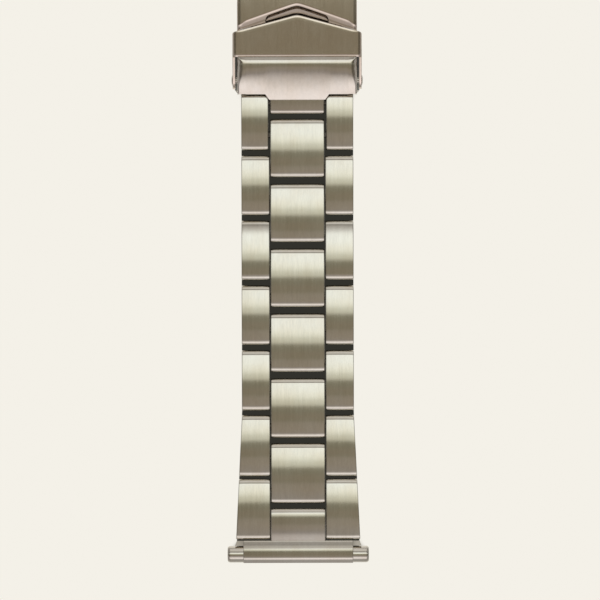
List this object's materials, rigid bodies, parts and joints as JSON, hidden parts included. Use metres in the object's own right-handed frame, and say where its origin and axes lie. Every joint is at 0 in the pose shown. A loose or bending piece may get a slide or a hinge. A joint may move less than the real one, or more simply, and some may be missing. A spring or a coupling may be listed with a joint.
{
  "type": "link watch bracelet",
  "caption": "Brushed steel link watch bracelet with domed links, sprung telescoping ends and a folding clasp with a chevron safety lock.",
  "frame": {"origin": "under the middle of the bracelet's length, on the surface that it lies on", "axes": "+Y along the bracelet from the lower watch end towards the upper one, +Z out of the wrist, +X to the right seen from outside"},
  "size_m": [0.022, 0.157, 0.0057],
  "materials": {
    "link_steel": "brushed along the bracelet",
    "clasp_steel": "brushed along the bracelet",
    "end_steel": "brushed along the bracelet",
    "blade_steel": "satin sheet",
    "pin_steel": "drawn wire",
    "spring_steel": "spring wire"
  },
  "bodies": {
    "clasp_cover": {"clasp_cover": "clasp_steel", "cover_hinge_pin": "pin_steel", "adjuster_bar": "pin_steel"},
    "inner_blade": {"inner_blade": "blade_steel"},
    "outer_blade": {"outer_blade": "blade_steel", "clasp_end_piece": "clasp_steel", "blade_hinge_pin": "pin_steel", "lock_pin": "pin_steel"},
    "safety_lock": {"safety_lock": "clasp_steel"},
    "clasp_link": {"clasp_link": "link_steel"},
    "lower_pair_1": {"lower_side_left_1": "link_steel", "lower_side_right_1": "link_steel", "lower_pins_1": "pin_steel"},
    "lower_centre_1": {"lower_centre_1": "link_steel"},
    "lower_pair_2": {"lower_side_left_2": "link_steel", "lower_side_right_2": "link_steel", "lower_pins_2": "pin_steel"},
    "lower_centre_2": {"lower_centre_2": "link_steel"},
    "lower_pair_3": {"lower_side_left_3": "link_steel", "lower_side_right_3": "link_steel", "lower_pins_3": "pin_steel"},
    "lower_centre_3": {"lower_centre_3": "link_steel"},
    "lower_pair_4": {"lower_side_left_4": "link_steel", "lower_side_right_4": "link_steel", "lower_pins_4": "pin_steel"},
    "lower_centre_4": {"lower_centre_4": "link_steel"},
    "lower_pair_5": {"lower_side_left_5": "link_steel", "lower_side_right_5": "link_steel", "lower_pins_5": "pin_steel"},
    "lower_centre_5": {"lower_centre_5": "link_steel"},
    "lower_pair_6": {"lower_side_left_6": "link_steel", "lower_side_right_6": "link_steel", "lower_pins_6": "pin_steel"},
    "lower_centre_6": {"lower_centre_6": "link_steel"},
    "lower_pair_7": {"lower_side_left_7": "link_steel", "lower_side_right_7": "link_steel", "lower_pins_7": "pin_steel"},
    "lower_end": {"lower_end_piece": "end_steel", "lower_end_spring": "spring_steel"},
    "lower_cap_left": {"lower_cap_left": "end_steel"},
    "lower_cap_right": {"lower_cap_right": "end_steel"},
    "upper_pair_1": {"upper_side_left_1": "link_steel", "upper_side_right_1": "link_steel", "upper_pins_1": "pin_steel"},
    "upper_centre_1": {"upper_centre_1": "link_steel"},
    "upper_pair_2": {"upper_side_left_2": "link_steel", "upper_side_right_2": "link_steel", "upper_pins_2": "pin_steel"},
    "upper_centre_2": {"upper_centre_2": "link_steel"},
    "upper_pair_3": {"upper_side_left_3": "link_steel", "upper_side_right_3": "link_steel", "upper_pins_3": "pin_steel"},
    "upper_centre_3": {"upper_centre_3": "link_steel"},
    "upper_pair_4": {"upper_side_left_4": "link_steel", "upper_side_right_4": "link_steel", "upper_pins_4": "pin_steel"},
    "upper_end": {"upper_end_piece": "end_steel", "upper_end_spring": "spring_steel"},
    "upper_cap_left": {"upper_cap_left": "end_steel"},
    "upper_cap_right": {"upper_cap_right": "end_steel"}
  },
  "joints": [
    {"name": "clasp_fold", "type": "hinge", "parent": "clasp_cover", "child": "inner_blade", "pos_m": [0, 0.00965, 0.0033], "axis": [-1, 0, 0], "range_deg": [0, 160]},
    {"name": "blade_fold", "type": "hinge", "parent": "inner_blade", "child": "outer_blade", "pos_m": [0, 0.02415, 0.001], "axis": [-1, 0, 0], "range_deg": [-160, 0]},
    {"name": "lock_swing", "type": "hinge", "parent": "outer_blade", "child": "safety_lock", "pos_m": [0, -0.00325, 0.0024], "axis": [1, 0, 0], "range_deg": [0, 135]},
    {"name": "adjuster_hinge", "type": "hinge", "parent": "clasp_cover", "child": "clasp_link", "pos_m": [0, 0.02965, 0.002], "axis": [-1, 0, 0], "range_deg": [-8, 20]},
    {"name": "lower_hinge_0", "type": "hinge", "parent": "outer_blade", "child": "lower_pair_1", "pos_m": [0, -0.00665, 0.0015], "axis": [1, 0, 0], "range_deg": [-8, 20]},
    {"name": "lower_hinge_1", "type": "hinge", "parent": "lower_pair_1", "child": "lower_centre_1", "pos_m": [0, -0.0117, 0.0015], "axis": [1, 0, 0], "range_deg": [-8, 20]},
    {"name": "lower_hinge_2", "type": "hinge", "parent": "lower_centre_1", "child": "lower_pair_2", "pos_m": [0, -0.01675, 0.0015], "axis": [1, 0, 0], "range_deg": [-8, 20]},
    {"name": "lower_hinge_3", "type": "hinge", "parent": "lower_pair_2", "child": "lower_centre_2", "pos_m": [0, -0.0218, 0.0015], "axis": [1, 0, 0], "range_deg": [-8, 20]},
    {"name": "lower_hinge_4", "type": "hinge", "parent": "lower_centre_2", "child": "lower_pair_3", "pos_m": [0, -0.02685, 0.0015], "axis": [1, 0, 0], "range_deg": [-8, 20]},
    {"name": "lower_hinge_5", "type": "hinge", "parent": "lower_pair_3", "child": "lower_centre_3", "pos_m": [0, -0.0319, 0.0015], "axis": [1, 0, 0], "range_deg": [-8, 20]},
    {"name": "lower_hinge_6", "type": "hinge", "parent": "lower_centre_3", "child": "lower_pair_4", "pos_m": [0, -0.03695, 0.0015], "axis": [1, 0, 0], "range_deg": [-8, 20]},
    {"name": "lower_hinge_7", "type": "hinge", "parent": "lower_pair_4", "child": "lower_centre_4", "pos_m": [0, -0.042, 0.0015], "axis": [1, 0, 0], "range_deg": [-8, 20]},
    {"name": "lower_hinge_8", "type": "hinge", "parent": "lower_centre_4", "child": "lower_pair_5", "pos_m": [0, -0.04705, 0.0015], "axis": [1, 0, 0], "range_deg": [-8, 20]},
    {"name": "lower_hinge_9", "type": "hinge", "parent": "lower_pair_5", "child": "lower_centre_5", "pos_m": [0, -0.0521, 0.0015], "axis": [1, 0, 0], "range_deg": [-8, 20]},
    {"name": "lower_hinge_10", "type": "hinge", "parent": "lower_centre_5", "child": "lower_pair_6", "pos_m": [0, -0.05715, 0.0015], "axis": [1, 0, 0], "range_deg": [-8, 20]},
    {"name": "lower_hinge_11", "type": "hinge", "parent": "lower_pair_6", "child": "lower_centre_6", "pos_m": [0, -0.0622, 0.0015], "axis": [1, 0, 0], "range_deg": [-8, 20]},
    {"name": "lower_hinge_12", "type": "hinge", "parent": "lower_centre_6", "child": "lower_pair_7", "pos_m": [0, -0.06725, 0.0015], "axis": [1, 0, 0], "range_deg": [-8, 20]},
    {"name": "lower_hinge_13", "type": "hinge", "parent": "lower_pair_7", "child": "lower_end", "pos_m": [0, -0.0723, 0.0015], "axis": [1, 0, 0], "range_deg": [-8, 20]},
    {"name": "lower_cap_left_slide", "type": "slide", "parent": "lower_end", "child": "lower_cap_left", "axis": [-1, 0, 0], "range_m": [-0.0024, 0], "stiffness_N_per_m": 300, "springref_m": 0.002, "deforming": ["lower_end_spring"]},
    {"name": "lower_cap_right_slide", "type": "slide", "parent": "lower_end", "child": "lower_cap_right", "axis": [1, 0, 0], "range_m": [-0.0024, 0], "stiffness_N_per_m": 300, "springref_m": 0.002},
    {"name": "upper_hinge_0", "type": "hinge", "parent": "clasp_link", "child": "upper_pair_1", "pos_m": [0, 0.03695, 0.0015], "axis": [-1, 0, 0], "range_deg": [-8, 20]},
    {"name": "upper_hinge_1", "type": "hinge", "parent": "upper_pair_1", "child": "upper_centre_1", "pos_m": [0, 0.042, 0.0015], "axis": [-1, 0, 0], "range_deg": [-8, 20]},
    {"name": "upper_hinge_2", "type": "hinge", "parent": "upper_centre_1", "child": "upper_pair_2", "pos_m": [0, 0.04705, 0.0015], "axis": [-1, 0, 0], "range_deg": [-8, 20]},
    {"name": "upper_hinge_3", "type": "hinge", "parent": "upper_pair_2", "child": "upper_centre_2", "pos_m": [0, 0.0521, 0.0015], "axis": [-1, 0, 0], "range_deg": [-8, 20]},
    {"name": "upper_hinge_4", "type": "hinge", "parent": "upper_centre_2", "child": "upper_pair_3", "pos_m": [0, 0.05715, 0.0015], "axis": [-1, 0, 0], "range_deg": [-8, 20]},
    {"name": "upper_hinge_5", "type": "hinge", "parent": "upper_pair_3", "child": "upper_centre_3", "pos_m": [0, 0.0622, 0.0015], "axis": [-1, 0, 0], "range_deg": [-8, 20]},
    {"name": "upper_hinge_6", "type": "hinge", "parent": "upper_centre_3", "child": "upper_pair_4", "pos_m": [0, 0.06725, 0.0015], "axis": [-1, 0, 0], "range_deg": [-8, 20]},
    {"name": "upper_hinge_7", "type": "hinge", "parent": "upper_pair_4", "child": "upper_end", "pos_m": [0, 0.0723, 0.0015], "axis": [-1, 0, 0], "range_deg": [-8, 20]},
    {"name": "upper_cap_left_slide", "type": "slide", "parent": "upper_end", "child": "upper_cap_left", "axis": [-1, 0, 0], "range_m": [-0.0024, 0], "stiffness_N_per_m": 300, "springref_m": 0.002, "deforming": ["upper_end_spring"]},
    {"name": "upper_cap_right_slide", "type": "slide", "parent": "upper_end", "child": "upper_cap_right", "axis": [1, 0, 0], "range_m": [-0.0024, 0], "stiffness_N_per_m": 300, "springref_m": 0.002}
  ],
  "couplings": [
    {"joint": "blade_fold", "follows": "clasp_fold", "ratio": -1}
  ]
}
